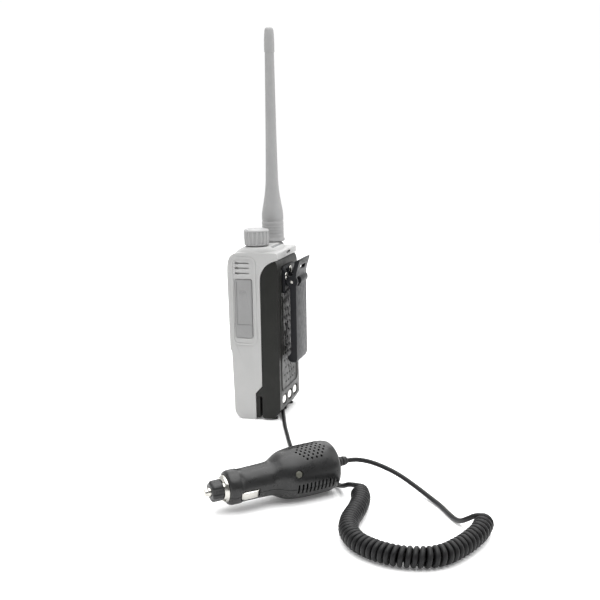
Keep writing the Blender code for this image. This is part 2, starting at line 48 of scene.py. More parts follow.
CAMERA_PLACE = (0.70036, 0.21547, 0.22492)
CAMERA_LOOK = (-0.9484, -0.2597, -0.1819)
CAMERA_ROLL = math.radians(-0.88)
CAMERA_LENS = 56.75
HALF_WIDTH = 27.6
TOP_Z = 130.6
SEAM_GAP = 0.15
BUTTON_GAP = 0.35
KNOB = (14.8, -5.9)
KNOB_RADIUS = 9.5
KNOB_FLUTES = 18
ANTENNA = (-15.2, -1.85)
KEY_COLUMNS = (-14.5, 0.0, 14.5)
KEY_ROWS = (36.1, 27.9, 19.7, 11.5)
KEY_NAMES = ("1", "2", "3", "4", "5", "6", "7", "8", "9", "star", "0", "hash")
KEY_SIZE = (11.4, 5.4)
KEY_PROUD = 1.0
KEYPAD_FOOT = (-22.5, 8.0)
KEYPAD_HEAD = (-24.0, 57.0)
ROCKER_Z = 48.5
ROCKER_SIZE = (34.0, 7.0)
SIDE_BUTTONS = {
    "side_key_lower": (55.0, 65.0),
    "ptt_button": (69.0, 98.0),
    "side_key_upper": (102.0, 110.0),
}
BUTTON_Y = (-13.7, -4.3)
COVER_Y = (-20.1, -6.5)
COVER_Z = (64.9, 110.2)
VENT_Z = (115.0, 118.9, 122.7)
CONTACT_X = (15.0, 0.0, -15.0)
CONTACT_Z = 14.4
PACK_BACK_Y = 14.3
RIB_X = 17.0
DIMPLE_PITCH = (6.4, 5.8)
CLIP_HALF_WIDTH = 15.4
PIVOT = (21.1, 106.8)
PIN_BORE = 1.45
SCREWS = {
    "clip_screw_right": (12.2, 111.3),
    "clip_screw_left": (-12.2, 111.3),
    "clip_screw_top": (0.0, 115.2),
}
CORD_RADIUS = 1.5
COIL_RADIUS = 5.8
PLUG_TIP = (211.2, 21.6, 14.2)
PLUG_TURN = math.radians(132.9)
PLUG_ROLL = math.radians(21.0)
PLUG_TILT = math.radians(-1.6)
LAMP_ROLL = math.radians(74.0)
LAMP_ALONG = 55.5
SLIT_COUNT = 10
SLIT_START = 54.6
SLIT_PITCH = 2.62
SLIT_WIDTH = 1.1
HOLE_CENTRE = 68.0
HOLE_FIELD = (11.6, 7.4)
HOLE_PITCH = (3.2, 2.1)
HOLE_RADIUS = 0.75


# ---------------------------------------------------------------- camera

def add_camera():
    """The camera that gives the main view; its sizes are in metres."""
    camera = bpy.data.cameras.new("camera")
    camera.lens = CAMERA_LENS
    camera.sensor_width = 36.0
    camera.clip_start = 0.01
    item = bpy.data.objects.new("camera", camera)
    turn = Vector(CAMERA_LOOK).to_track_quat("-Z", "Y").to_matrix().to_4x4()
    roll = Matrix.Rotation(CAMERA_ROLL, 4, "Z")
    item.matrix_world = Matrix.Translation(CAMERA_PLACE) @ turn @ roll
    bpy.context.collection.objects.link(item)
    bpy.context.scene.camera = item


add_camera()


# ---------------------------------------------------------------- mesh helpers

def point_on(axis, along, a, b):
    """A point at a distance along an axis, with (a, b) across it."""
    if axis == "X":
        return (along, a, b)
    if axis == "Y":
        return (a, along, b)
    return (a, b, along)


def prism(outline, axis, low, high, into=None):
    """Extrude a closed outline of (a, b) points along an axis."""
    shape = into or bmesh.new()
    near = [shape.verts.new(point_on(axis, low, a, b)) for a, b in outline]
    far = [shape.verts.new(point_on(axis, high, a, b)) for a, b in outline]
    shape.faces.new(near)
    shape.faces.new(far)
    for index in range(len(outline)):
        after = (index + 1) % len(outline)
        shape.faces.new((near[index], near[after], far[after], far[index]))
    return shape


def box(x, y, z, into=None):
    """A block between three (low, high) pairs."""
    outline = ((x[0], y[0]), (x[1], y[0]), (x[1], y[1]), (x[0], y[1]))
    return prism(outline, "Z", z[0], z[1], into)


def arc(centre, radius, start, end, steps):
    """Points on an arc, with its angles in degrees."""
    points = []
    for step in range(steps + 1):
        angle = math.radians(start + (end - start) * step / steps)
        points.append((centre[0] + radius * math.cos(angle),
                       centre[1] + radius * math.sin(angle)))
    return points


def rounded_rect(a, b, radius, steps=6):
    """Outline of a rounded rectangle from two (low, high) pairs."""
    corners = ((a[1] - radius, b[0] + radius, 270), (a[1] - radius, b[1] - radius, 0),
               (a[0] + radius, b[1] - radius, 90), (a[0] + radius, b[0] + radius, 180))
    points = []
    for x, y, start in corners:
        points += arc((x, y), radius, start, start + 90, steps)
    return points


def loft(outlines, into=None):
    """Skin over closed outlines of (x, y, z) points, all with the same count."""
    shape = into or bmesh.new()
    rings = [[shape.verts.new(point) for point in outline] for outline in outlines]
    shape.faces.new(rings[0])
    shape.faces.new(rings[-1])
    for low, high in zip(rings, rings[1:]):
        for index in range(len(low)):
            after = (index + 1) % len(low)
            shape.faces.new((low[index], low[after], high[after], high[index]))
    return shape


def lathe(profile, axis="Z", centre=(0.0, 0.0), sides=48, closed=False, into=None, wave=None):
    """Turn a profile of (radius, along) points; wave(radius, along, angle) can flute it."""
    shape = into or bmesh.new()
    rings = []
    for radius, along in profile:
        count = 1 if radius == 0 else sides
        ring = []
        for step in range(count):
            angle = 2 * math.pi * step / sides
            reach = wave(radius, along, angle) if wave and radius else radius
            a = centre[0] + reach * math.cos(angle)
            b = centre[1] + reach * math.sin(angle)
            ring.append(shape.verts.new(point_on(axis, along, a, b)))
        rings.append(ring)
    pairs = list(zip(rings, rings[1:]))
    if closed:
        pairs.append((rings[-1], rings[0]))
    else:
        for ring in (rings[0], rings[-1]):
            if len(ring) > 1:
                shape.faces.new(ring)
    for low, high in pairs:
        for step in range(sides):
            after = (step + 1) % sides
            corners = [low[step % len(low)], low[after % len(low)],
                       high[after % len(high)], high[step % len(high)]]
            shape.faces.new(list(dict.fromkeys(corners)))
    return shape


def cylinder(axis, centre, radius, low, high, sides=32, into=None):
    return lathe(((radius, low), (radius, high)), axis, centre, sides, into=into)


def smooth_line(points, steps):
    """A smooth curve through points of any dimension, ends included."""
    line = [Vector(point) for point in points]
    line = [2 * line[0] - line[1]] + line + [2 * line[-1] - line[-2]]
    fine = []
    for index in range(1, len(line) - 2):
        before, start, end, after = line[index - 1:index + 3]
        for part in range(steps):
            t = part / steps
            fine.append(0.5 * (2 * start + (end - before) * t
                               + (2 * before - 5 * start + 4 * end - after) * t ** 2
                               + (3 * start - before - 3 * end + after) * t ** 3))
    fine.append(line[-2])
    return fine


def flat_line(points, steps):
    """A smooth curve as plain tuples."""
    return [tuple(point) for point in smooth_line(points, steps)]


def bevel_edges(shape, keep, width, segments=5):
    """Bevel the edges whose two ends both satisfy keep(x, y, z)."""
    edges = [edge for edge in shape.edges
             if all(keep(*vert.co) for vert in edge.verts)]
    bmesh.ops.bevel(shape, geom=edges, offset=width, segments=segments,
                    affect="EDGES", profile=0.5, clamp_overlap=True)


def mesh_object(name, shape):
    """Turn a shape in millimetres into an object in metres, and free the shape."""
    bmesh.ops.recalc_face_normals(shape, faces=shape.faces[:])
    bmesh.ops.scale(shape, verts=shape.verts[:], vec=(MM, MM, MM))
    mesh = bpy.data.meshes.new(name)
    shape.to_mesh(mesh)
    shape.free()
    item = bpy.data.objects.new(name, mesh)
    bpy.context.collection.objects.link(item)
    return item


def settle(item):
    """Replace the mesh by what its modifiers make of it, and take the modifiers off."""
    graph = bpy.context.evaluated_depsgraph_get()
    made = bpy.data.meshes.new_from_object(item.evaluated_get(graph))
    item.modifiers.clear()
    item.data = made


def carve(item, shape, operation="DIFFERENCE"):
    """Cut a shape out of the piece, or weld it on."""
    tool = mesh_object("tool", shape)
    modifier = item.modifiers.new("carve", "BOOLEAN")
    modifier.operation = operation
    modifier.object = tool
    modifier.solver = "EXACT"
    settle(item)
    bpy.data.objects.remove(tool, do_unlink=True)


def weld(item, other):
    """Weld another object on, and drop it."""
    shape = bmesh.new()
    shape.from_mesh(other.data)
    bmesh.ops.scale(shape, verts=shape.verts[:], vec=(1 / MM, 1 / MM, 1 / MM))
    bpy.data.objects.remove(other, do_unlink=True)
    carve(item, shape, "UNION")


def finish_piece(item, look, body, replaces=(), soften=0.0, segments=2, sharp=35.0,
                 slot=None):
    """Soften the edges, shade it, give it its material and tie it to its body."""
    if soften:
        bevel = item.modifiers.new("soften", "BEVEL")
        bevel.width = soften * MM
        bevel.segments = segments
        bevel.limit_method = "ANGLE"
        bevel.angle_limit = math.radians(30)
        settle(item)
    item.data.shade_smooth()
    item.data.set_sharp_from_angle(angle=math.radians(sharp))
    item.data.materials.clear()
    item.data.materials.append(look)
    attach(item, body)
    if replaces:
        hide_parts(*replaces)
    return item


# ---------------------------------------------------------------- materials

def new_material(name, colour, roughness, metallic=0.0):
    """A material with its node tree and its shader."""
    made = bpy.data.materials.new(name)
    made.use_nodes = True
    shader = made.node_tree.nodes["Principled BSDF"]
    shader.inputs["Base Color"].default_value = (*colour, 1.0)
    shader.inputs["Roughness"].default_value = roughness
    shader.inputs["Metallic"].default_value = metallic
    return made, made.node_tree, shader


def noise(tree, scale, detail=3.0, stretch=(1.0, 1.0, 1.0)):
    """Noise fixed to the object, as a value between 0 and 1."""
    place = tree.nodes.new("ShaderNodeTexCoord")
    mapping = tree.nodes.new("ShaderNodeMapping")
    mapping.inputs["Scale"].default_value = stretch
    texture = tree.nodes.new("ShaderNodeTexNoise")
    texture.inputs["Scale"].default_value = scale
    texture.inputs["Detail"].default_value = detail
    tree.links.new(place.outputs["Object"], mapping.inputs["Vector"])
    tree.links.new(mapping.outputs["Vector"], texture.inputs["Vector"])
    return texture.outputs["Fac"]


def spread(tree, source, low, high, start=0.3, end=0.7):
    """Map a value to a range; noise mostly lies between 0.3 and 0.7."""
    node = tree.nodes.new("ShaderNodeMapRange")
    limits = {"From Min": start, "From Max": end, "To Min": low, "To Max": high}
    for name, value in limits.items():
        node.inputs[name].default_value = value
    tree.links.new(source, node.inputs["Value"])
    return node.outputs["Result"]


def mottle(tree, shader, colour, scale, amount):
    """Vary the base colour a little across the surface."""
    value = spread(tree, noise(tree, scale, 4.0), 0.0, 1.0)
    mix = tree.nodes.new("ShaderNodeMix")
    mix.data_type = "RGBA"
    for name, factor in (("A", 1 - amount), ("B", 1 + amount)):
        mix.inputs[name].default_value = (*[min(1.0, part * factor) for part in colour], 1.0)
    tree.links.new(value, mix.inputs["Factor"])
    tree.links.new(mix.outputs["Result"], shader.inputs["Base Color"])


def grain(tree, shader, size, depth, detail=2.0, stretch=(1.0, 1.0, 1.0)):
    """Fine bumps: size is the grain's width and depth its height, both in metres."""
    bump = tree.nodes.new("ShaderNodeBump")
    bump.inputs["Strength"].default_value = 1.0
    bump.inputs["Distance"].default_value = depth
    tree.links.new(noise(tree, 1.0 / size, detail, stretch), bump.inputs["Height"])
    tree.links.new(bump.outputs["Normal"], shader.inputs["Normal"])


def plastic(name, colour, roughness, size=0.0006, depth=0.00003, amount=0.06, gloss=0.5):
    """Moulded plastic or rubber: mottled a little, with a fine grain and uneven gloss."""
    made, tree, shader = new_material(name, colour, roughness)
    shader.inputs["Specular IOR Level"].default_value = gloss
    mottle(tree, shader, colour, 70.0, amount)
    rough = spread(tree, noise(tree, 240.0, 5.0), roughness - 0.06, roughness + 0.08)
    tree.links.new(rough, shader.inputs["Roughness"])
    grain(tree, shader, size, depth)
    return made


def metal(name, colour, roughness, stretch=(1.0, 1.0, 1.0)):
    """Bare or plated metal with uneven polish."""
    made, tree, shader = new_material(name, colour, roughness, 1.0)
    mottle(tree, shader, colour, 200.0, 0.07)
    rough = spread(tree, noise(tree, 500.0, 4.0, stretch), roughness - 0.06, roughness + 0.1)
    tree.links.new(rough, shader.inputs["Roughness"])
    grain(tree, shader, 0.0008, 0.000006, 3.0, stretch)
    return made


def circuit_board(name):
    """Green solder mask with brighter copper lanes and pale pads under it."""
    made, tree, shader = new_material(name, (0.02, 0.13, 0.06), 0.35)
    place = tree.nodes.new("ShaderNodeTexCoord")
    brick = tree.nodes.new("ShaderNodeTexBrick")
    brick.inputs["Color1"].default_value = (0.015, 0.11, 0.05, 1.0)
    brick.inputs["Color2"].default_value = (0.03, 0.19, 0.09, 1.0)
    brick.inputs["Mortar"].default_value = (0.10, 0.30, 0.12, 1.0)
    brick.inputs["Scale"].default_value = 160.0
    brick.inputs["Mortar Size"].default_value = 0.03
    tree.links.new(place.outputs["Object"], brick.inputs["Vector"])
    tree.links.new(brick.outputs["Color"], shader.inputs["Base Color"])
    grain(tree, shader, 0.001, 0.00002)
    return made


def clear_plastic(name, colour, roughness, transmission):
    """Clear or tinted plastic with a slightly wavy face."""
    made, tree, shader = new_material(name, colour, roughness)
    shader.inputs["Transmission Weight"].default_value = transmission
    shader.inputs["IOR"].default_value = 1.49
    grain(tree, shader, 0.004, 0.00001)
    return made


CASE = plastic("case grey", (0.385, 0.385, 0.381), 0.42, 0.0005, 0.000016, 0.03)
TRIM = plastic("trim grey", (0.31, 0.31, 0.31), 0.4, 0.0006, 0.00002, 0.04)
COVER = plastic("cover rubber grey", (0.236, 0.236, 0.236), 0.55, 0.0005, 0.00002, 0.04)
WHIP = plastic("antenna rubber grey", (0.285, 0.285, 0.285), 0.5, 0.0009, 0.00001, 0.04)
BLACK = plastic("black textured plastic", (0.0145, 0.0148, 0.0135), 0.4, 0.00055, 0.000004,
                0.1, 0.19)
CLIP = plastic("clip black plastic", (0.011, 0.0115, 0.0135), 0.42, 0.0006, 0.000003, 0.1, 0.17)
PLUG = plastic("plug black plastic", (0.0145, 0.0146, 0.0148), 0.3, 0.0005, 0.000004, 0.1, 0.38)
RUBBER = plastic("black rubber", (0.014, 0.014, 0.014), 0.55, 0.0007, 0.00003, 0.12)
CORD = plastic("cord jacket", (0.009, 0.009, 0.0095), 0.42, 0.0009, 0.000006, 0.1, 0.24)
MARK = plastic("key legend", (0.03, 0.03, 0.03), 0.5, 0.0006, 0.00001, 0.03)
SEGMENT = plastic("display segments", (0.012, 0.016, 0.014), 0.4, 0.0006, 0.00001, 0.03)
GLASS_GREEN = plastic("display backlight", (0.36, 0.42, 0.33), 0.35, 0.0006, 0.00001, 0.05)
NICKEL = metal("nickel", (0.5, 0.49, 0.46), 0.2)
GOLD = metal("contact plating", (0.93, 0.92, 0.89), 0.34)
STEEL = metal("dark steel", (0.2, 0.2, 0.21), 0.34)
ALLOY = metal("die-cast alloy", (0.5, 0.5, 0.51), 0.42)
BOARD = circuit_board("circuit board")
WINDOW = clear_plastic("display window", (0.9, 0.93, 0.92), 0.04, 0.97)
CLEAR = clear_plastic("clear light pipe", (0.8, 0.83, 0.85), 0.12, 0.7)
LENS = clear_plastic("lamp lens", (0.1, 0.1, 0.08), 0.35, 0.15)

CAD_LOOKS = {
    "rear_chassis": ALLOY, "main_board": BOARD, "keypad_mat": RUBBER, "lcd_module": STEEL,
    "lcd_window": WINDOW, "speaker": STEEL, "accessory_socket": BLACK, "light_pipe": CLEAR,
    "volume_control": ALLOY, "antenna_socket": NICKEL, "eliminator_lid": BLACK,
    "regulator_board": BOARD, "release_latch": BLACK, "clip_pin": NICKEL,
    "clip_spring": NICKEL, "fuse": CLEAR, "pin_spring": NICKEL, "plug_board": BOARD,
    "foot_left": RUBBER, "foot_right": RUBBER, "cable_gland": RUBBER,
}


def dress_cad_nodes():
    """Give the CAD parts that no piece replaces their materials."""
    for name, look in CAD_LOOKS.items():
        mesh = nodes[name].data
        mesh.materials.clear()
        mesh.materials.append(look)
        mesh.shade_smooth()
        mesh.set_sharp_from_angle(angle=math.radians(32))


# ---------------------------------------------------------------- cord

LEAD_ROUTE = ((5.4, 9.5, 2.45), (23.8, 15.8, 1.7), (42.7, 22.1, 1.6), (60.4, 28.8, 1.6),
              (79.3, 36.0, 1.6), (105.0, 47.0, 1.6), (122.0, 57.0, 1.6), (136.0, 70.0, 1.6),
              (145.5, 82.0, 1.6), (151.5, 88.0, 2.4), (157.5, 92.0, 4.4), (163.5, 95.6, 7.4),
              (167.2, 99.0, 9.6))
COIL_ROUTE = ((169.5, 105.6, 6.0), (178.5, 108.3, 6.0), (193.0, 109.2, 6.0),
              (210.5, 108.5, 6.0), (225.0, 111.1, 6.0), (236.4, 117.9, 6.0),
              (243.1, 126.3, 6.0), (247.1, 135.0, 6.0), (248.8, 143.1, 6.0),
              (248.1, 150.7, 6.0), (246.3, 158.2, 6.0), (241.1, 165.3, 6.0),
              (232.5, 171.0, 6.0), (222.7, 175.8, 6.0), (210.1, 180.1, 6.0),
              (197.5, 181.8, 6.0))
TAIL_ROUTE = ((196.6, 177.0, 9.4), (194.8, 172.4, 6.4),
              (191.4, 168.6, 3.4), (186.4, 165.0, 1.8), (179.2, 160.4, 1.6),
              (167.8, 153.9, 1.6), (159.3, 146.8, 2.5), (149.3, 136.3, 5.0),
              (141.5, 125.7, 8.0), (137.6, 115.4, 11.0), (137.2, 105.8, 13.8),
              (140.4, 98.4, 15.8), (144.4, 93.6, 16.5), (148.5, 89.1, 16.7))
COIL_TURNS = 50
COIL_STRETCH = 0.06
POINTS_PER_TURN = 16


def along(line, lengths, wanted):
    """The point and direction at a distance along a fine polyline."""
    index = 0
    while index < len(line) - 2 and lengths[index + 1] < wanted:
        index += 1
    step = line[index + 1] - line[index]
    share = (wanted - lengths[index]) / step.length
    return line[index] + step * share, step.normalized()


def helix_points():
    """Centreline of the curly stretch, wound round its curved axis and looser at its end."""
    axis = smooth_line(COIL_ROUTE, 24)
    lengths = [0.0]
    for low, high in zip(axis, axis[1:]):
        lengths.append(lengths[-1] + (high - low).length)
    reach = COIL_RADIUS - CORD_RADIUS
    count = COIL_TURNS * POINTS_PER_TURN
    points = []
    for step in range(count + 1):
        share = step / count
        stretched = (1 - COIL_STRETCH) * share + COIL_STRETCH * share ** 5
        place, ahead = along(axis, lengths, stretched * lengths[-1])
        side = ahead.cross(Vector((0, 0, 1))).normalized()
        angle = math.pi / 2 + 2 * math.pi * COIL_TURNS * share
        points.append(place + reach * (math.cos(angle) * side
                                       + math.sin(angle) * Vector((0, 0, 1))))
    return points


def route_length(points):
    return sum((high - low).length for low, high in zip(points, points[1:]))


def add_cord():
    """One cord from the gland to the plug's boot, with its length and its exit."""
    coil = helix_points()
    lead = smooth_line((*LEAD_ROUTE, tuple(coil[0])), 4)[:-1]
    tail = smooth_line((tuple(coil[-1]), *TAIL_ROUTE), 4)[1:]
    points = lead + coil + tail
    curve = bpy.data.curves.new("cord", "CURVE")
    curve.dimensions = "3D"
    curve.bevel_depth = CORD_RADIUS * MM
    curve.bevel_resolution = 4
    curve.use_fill_caps = True
    spline = curve.splines.new("POLY")
    spline.points.add(len(points) - 1)
    for point, place in zip(spline.points, points):
        point.co = (*(place * MM), 1.0)
    spline.use_smooth = True
    curve.materials.append(CORD)
    item = bpy.data.objects.new("cord", curve)
    bpy.context.collection.objects.link(item)
    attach(item, "radio")
    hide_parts("cord_lead", "cord_coil", "cord_tail")
    return item, route_length(points) * MM, tuple(points[0] * MM)


cord, cord_length, cord_exit = add_cord()


# ---------------------------------------------------------------- radio case

def seam_line(offset=0.0):
    """Top of the seam between the case and the eliminator, from its side to its back."""
    curve = flat_line(((0.0, 108.0), (0.4, 113.0), (2.2, 117.2), (5.0, 120.8),
                       (8.6, 123.2), (13.0, 124.8)), 6)
    return [(y - offset, z + offset) for y, z in curve]


def keypad_face_y(z):
    """Where the leaning front face stands at a height."""
    lean = (KEYPAD_HEAD[0] - KEYPAD_FOOT[0]) / (KEYPAD_HEAD[1] - KEYPAD_FOOT[1])
    return KEYPAD_FOOT[0] + lean * (z - KEYPAD_FOOT[1])


def add_case():
    """The case: its side outline made wide, rounded, hollowed and cut."""
    gap = SEAM_GAP
    shoulder = flat_line(((-26.0, 112.0), (-25.9, 118.5), (-25.2, 123.8), (-23.2, 127.9),
                          (-19.4, 130.1), (-14.0, TOP_Z)), 5)
    step = flat_line(((-23.9, 52.8), (-24.1, 54.0), (-24.9, 55.4), (-25.2, 57.0)), 4)
    top = [(12.0, TOP_Z), *arc((12.0, 129.1), 1.5, 80, 0, 4)]
    back = [(13.5, 124.95 + gap)] + list(reversed(seam_line(gap)[:-1]))
    outline = [(-5.3 - gap, 0.0), *arc((-14.5, 8.0), 8.0, 270, 180, 12), *step, *shoulder,
               *top, *back, (-gap, 27.0), (-5.3 - gap, 21.2)]
    shape = prism(outline, "X", -HALF_WIDTH, HALF_WIDTH)
    bevel_edges(shape, lambda x, y, z: abs(abs(x) - HALF_WIDTH) < 1e-3
                and (y < -5.0 and z < 20 or y < -11.9 or z > 124.9), 3.8, 8)
    case = mesh_object("case_shell", shape)
    carve(case, raised_deck(), "UNION")
    surround = rounded_rect((-21.5, 21.5), (65.5, 97.0), 4.0)
    carve(case, prism(surround, "Y", -27.0, -25.0), "UNION")
    for side in (-1, 1):
        add_bezel(case, side)
    hollow = [(-7.2, 2.0), (-14.0, 2.0), (-20.5, 9.0), (-22.0, 57.5), (-24.0, 61.0),
              (-24.0, 116.0), (-21.0, 124.5), (-15.0, 128.2), (11.0, 128.2), (11.0, 126.6),
              (6.8, 125.2), (2.2, 122.0), (-1.0, 117.4), (-2.3, 112.0), (1.0, 112.0),
              (1.0, 29.0), (-2.3, 29.0), (-7.2, 23.0)]
    inner = HALF_WIDTH - 2.0
    carve(case, prism(hollow, "X", -inner, inner))
    carve_front(case)
    carve_sides(case)
    carve_top(case)
    finish_piece(case, CASE, "radio", ("front_case",), 0.22, 2, 28.0)


def raised_deck():
    """The top's raised deck, which carries the knob and the antenna."""
    levels = flat_line(((27.2, -24.0, 9.8, 128.4), (26.8, -22.7, 9.2, 130.0),
                        (26.2, -20.6, 8.2, 131.5), (25.5, -18.1, 6.9, 132.8),
                        (24.9, -16.0, 5.5, 133.8), (24.3, -14.8, 4.5, 134.3),
                        (23.3, -13.8, 3.5, 134.5)), 3)
    outlines = []
    for half, front, back, z in levels:
        outline = rounded_rect((-half, half), (front, back), (back - front) / 2 - 0.3, 12)
        outlines.append([(x, y, z) for x, y in outline])
    return loft(outlines)


def add_bezel(case, side):
    """A low raised bead round the panel that holds the side's cover or buttons."""
    low, high = sorted((side * (HALF_WIDTH - 1.0), side * (HALF_WIDTH + 0.45)))
    bead = mesh_object("bead", prism(
        rounded_rect((-23.0, -3.2), (59.0, 127.4), 5.0, 8), "X", low, high))
    carve(bead, prism(rounded_rect((-21.4, -4.8), (60.6, 125.8), 3.6, 8), "X",
                      low - 1.0, high + 1.0))
    weld(case, bead)


def carve_front(case):
    """Display window, speaker slots and key holes."""
    carve(case, prism(rounded_rect((-19.0, 19.0), (68.0, 95.0), 2.0), "Y", -28.0, -20.0))
    for row in range(5):
        low = 98.6 + 3.6 * row
        half = 11.0 - 1.2 * abs(row - 2)
        carve(case, prism(rounded_rect((-half, half), (low, low + 1.6), 0.75), "Y",
                          -28.0, -20.0))
    spots = [(x, z, KEY_SIZE, 1.8) for z in KEY_ROWS for x in KEY_COLUMNS]
    holes = bmesh.new()
    for x, z, size, radius in (*spots, (0.0, ROCKER_Z, ROCKER_SIZE, 3.4)):
        half, tall = size[0] / 2 + BUTTON_GAP, size[1] / 2 + BUTTON_GAP
        prism(rounded_rect((x - half, x + half), (z - tall, z + tall), radius), "Y",
              -28.0, -18.8, holes)
    carve(case, holes)


def carve_sides(case):
    """Button holes on the left, cover recess on the right and vents on the right."""
    gap = BUTTON_GAP
    buttons = bmesh.new()
    for low, high in SIDE_BUTTONS.values():
        prism(rounded_rect((BUTTON_Y[0] - gap, BUTTON_Y[1] + gap), (low - gap, high + gap), 2.2),
              "X", -30.0, -24.0, buttons)
    carve(case, buttons)
    recess = rounded_rect((COVER_Y[0] - gap, COVER_Y[1] + gap),
                          (COVER_Z[0] - gap, COVER_Z[1] + gap), 1.6)
    carve(case, prism(recess, "X", 26.4, 30.0))
    carve(case, box((24.0, 27.0), (-17.0, -9.0), (76.0, 104.0)))
    for width, half, radius, floor in (((-19.7, -8.5), 0.5, 0.45, 26.4),
                                       ((-19.9, -16.4), 0.95, 0.9, 26.0)):
        vents = bmesh.new()
        for z in VENT_Z:
            prism(rounded_rect(width, (z - half, z + half), radius), "X", floor, 30.0, vents)
        carve(case, vents)


def carve_top(case):
    """Holes for the knob, the antenna and the light pipe, and a slot at the back."""
    holes = cylinder("Z", KNOB, 3.5, 126.0, 136.0, 32)
    cylinder("Z", ANTENNA, 4.5, 126.0, 136.0, 32, holes)
    prism(rounded_rect((-15.3, 15.3), (5.1, 6.7), 0.7), "Z", 126.0, 136.0, holes)
    carve(case, holes)
    carve(case, prism(rounded_rect((-10.5, 0.5), (126.8, 129.1), 0.9), "Y", 12.0, 15.0))


# ---------------------------------------------------------------- controls

def add_knob():
    """Fluted knob with a pointer mark and a blind bore for its shaft."""
    def flutes(radius, z, angle):
        if not 136.2 < z < 145.9:
            return radius
        ridge = math.cos(KNOB_FLUTES * angle)
        return radius - 0.7 * max(0.0, 0.35 - ridge) ** 0.6

    radius = KNOB_RADIUS
    sides = [(radius, 136.4 + 1.17 * step) for step in range(9)]
    profile = ((0.0, 135.0), (7.4, 135.0), (8.6, 135.1), (9.05, 135.6), (radius, 136.1), *sides,
               (radius, 146.0), (9.35, 146.7), (8.8, 147.25), (8.1, 147.45), (7.7, 147.5),
               (7.5, 147.35), (0.0, 147.3))
    knob = mesh_object("knob", lathe(profile, "Z", KNOB, 216, wave=flutes))
    carve(knob, cylinder("Z", KNOB, 3.3, 130.0, 144.1, 32))
    mark = rounded_rect((KNOB[0] - 0.5, KNOB[0] + 0.5), (KNOB[1] - 6.8, KNOB[1] - 3.2), 0.45)
    carve(knob, prism(mark, "Z", 146.9, 149.0))
    finish_piece(knob, TRIM, "volume_knob", ("volume_knob",), sharp=26.0)


def add_antenna():
    """Tapering whip on a ribbed base, with a rounded tip."""
    ribs = []
    for z in (141.0, 143.2, 145.4, 147.6):
        ribs += [(8.52, z - 0.45), (8.44, z - 0.25), (8.44, z + 0.25), (8.52, z + 0.45)]
    profile = ((0.0, 135.0), (8.9, 135.0), (9.3, 135.3), (9.3, 136.4), (8.9, 137.1), (8.62, 137.8),
               (8.56, 139.2), *ribs, (8.5, 148.9), (8.46, 150.1), (8.2, 150.5), (8.2, 151.1),
               (8.46, 151.6), (8.5, 153.4), (8.44, 156.2), (8.16, 158.6), (7.75, 161.2),
               (7.2, 164.0), (6.65, 167.2), (6.05, 170.8), (5.55, 174.8), (5.15, 179.0),
               (4.9, 184.0), (4.72, 191.0), (4.5, 202.0), (4.3, 214.0), (4.04, 236.0),
               (3.8, 258.0), (3.62, 276.0), (3.56, 279.4), (3.6, 280.0), (3.9, 280.3),
               (3.96, 280.9), (3.97, 285.0), (3.93, 289.4), (3.75, 293.0), (3.48, 296.0),
               (3.1, 297.6), (2.4, 298.4), (1.2, 298.7), (0.0, 298.7))
    whip = mesh_object("whip", lathe(profile, "Z", ANTENNA, 72))
    carve(whip, cylinder("Z", ANTENNA, 3.4, 130.0, 142.2, 32))
    finish_piece(whip, WHIP, "antenna", ("antenna_jacket",), sharp=40.0)


def add_accessory_cover():
    """Rubber cover with a raised face, a groove, a finger tab and a small plain arc."""
    low, high = COVER_Z
    cover = mesh_object("socket_cover", prism(
        rounded_rect(COVER_Y, COVER_Z, 1.3), "X", 26.8, 28.15))
    carve(cover, prism(rounded_rect((COVER_Y[0] + 0.5, COVER_Y[1] - 0.5),
                                    (low + 0.5, high - 0.5), 1.0), "X", 28.0, 28.45), "UNION")
    groove = rounded_rect((-18.6, -18.0), (low + 11.2, high - 1.6), 0.28)
    carve(cover, prism(groove, "X", 28.1, 29.5))
    carve(cover, box((28.2, 29.5), (-20.6, -6.0), (low + 10.2, low + 10.7)))
    tab = prism(rounded_rect((COVER_Y[0] - 0.1, COVER_Y[0] + 1.5),
                             (low + 8.0, low + 12.0), 0.7), "X", 27.6, 28.62)
    carve(cover, tab, "UNION")
    for radius in (3.0, 1.9):
        outline = (arc((-13.4, 99.0), radius, 180, 0, 14)
                   + arc((-13.4, 99.0), radius - 0.35, 0, 180, 14))
        carve(cover, prism(outline, "X", 28.3, 29.5))
    carve(cover, cylinder("X", (-13.4, 98.6), 0.6, 28.3, 29.5, 20))
    finish_piece(cover, COVER, "accessory_cover", ("accessory_cover",), 0.16, 2, 30.0)


def dome(outline, top, low, height, centre):
    """A button whose flank is straight from low to top and whose face bulges forward in -Y."""
    rings = []
    for share, rise in ((1.0, 0.0), (0.985, 0.28), (0.94, 0.52), (0.85, 0.7), (0.6, 0.88),
                        (0.3, 0.97), (0.08, 1.0)):
        ring = [(centre[0] + (x - centre[0]) * share, top - height * rise,
                 centre[1] + (z - centre[1]) * share) for x, z in outline]
        rings.append(ring)
    return loft([[(x, low, z) for x, z in outline], *rings])


